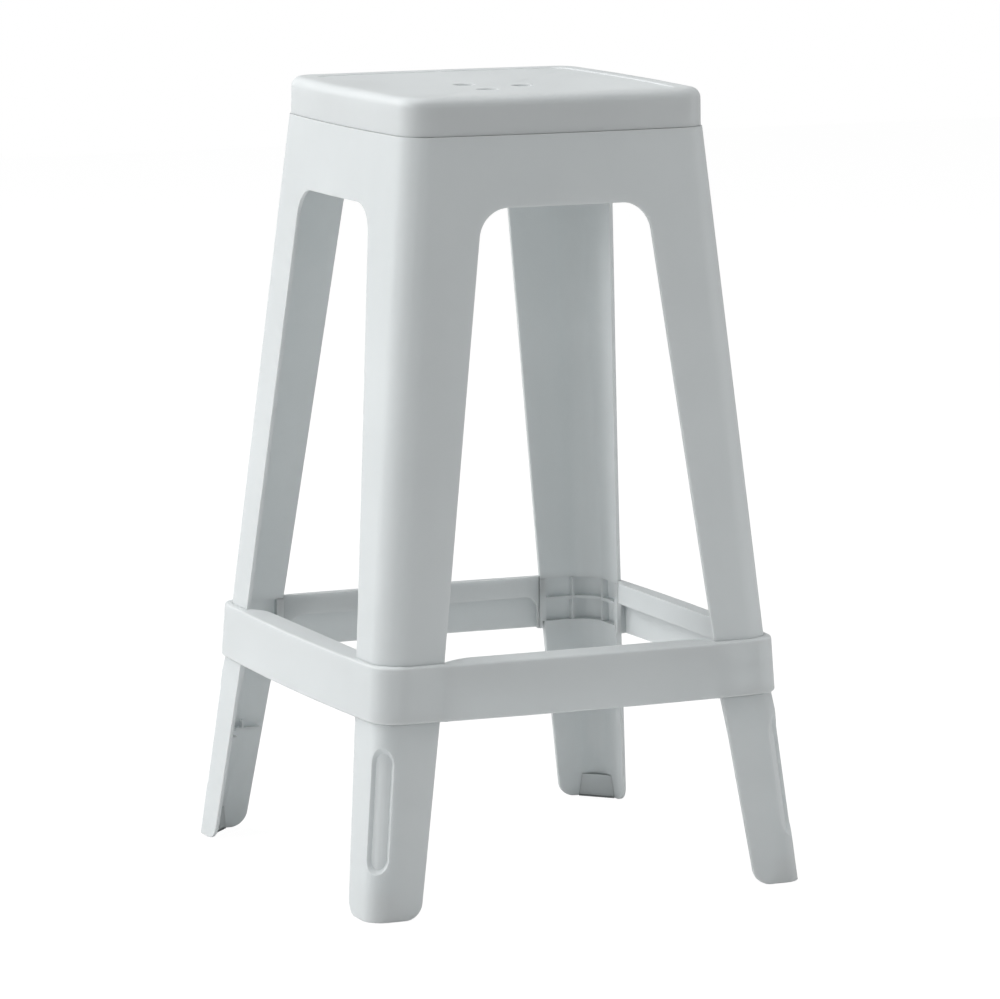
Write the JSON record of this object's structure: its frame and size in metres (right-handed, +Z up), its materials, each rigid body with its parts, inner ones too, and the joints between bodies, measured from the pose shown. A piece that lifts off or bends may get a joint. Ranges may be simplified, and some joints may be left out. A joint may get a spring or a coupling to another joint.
{
  "type": "stacking stool",
  "caption": "Counter-height stacking stool: square dished seat cap with drain holes on a tapering arched frame, with a footrest ring on short splayed legs with recessed corners",
  "frame": {"origin": "on the floor, under the middle of the seat", "axes": "+Z up, -Y to the front, +X to the right of someone who faces the front; all four sides are alike"},
  "size_m": [0.3874, 0.3874, 0.65],
  "materials": {
    "shell_plastic": "pale cool grey moulded polypropylene with a fine matt grain",
    "insert_plastic": "the same grey polypropylene, slightly darker and smoother",
    "pad_rubber": "mid grey non-slip rubber"
  },
  "bodies": {
    "root": {"seat_cap": "shell_plastic", "upper_frame": "shell_plastic", "footrest_ring": "shell_plastic", "lower_leg_front_left": "shell_plastic", "lower_leg_front_right": "shell_plastic", "lower_leg_back_right": "shell_plastic", "lower_leg_back_left": "shell_plastic", "foot_insert_front_left": "insert_plastic", "foot_insert_front_right": "insert_plastic", "foot_insert_back_right": "insert_plastic", "foot_insert_back_left": "insert_plastic", "foot_pad_front_left": "pad_rubber", "foot_pad_front_right": "pad_rubber", "foot_pad_back_right": "pad_rubber", "foot_pad_back_left": "pad_rubber"}
  },
  "joints": []
}
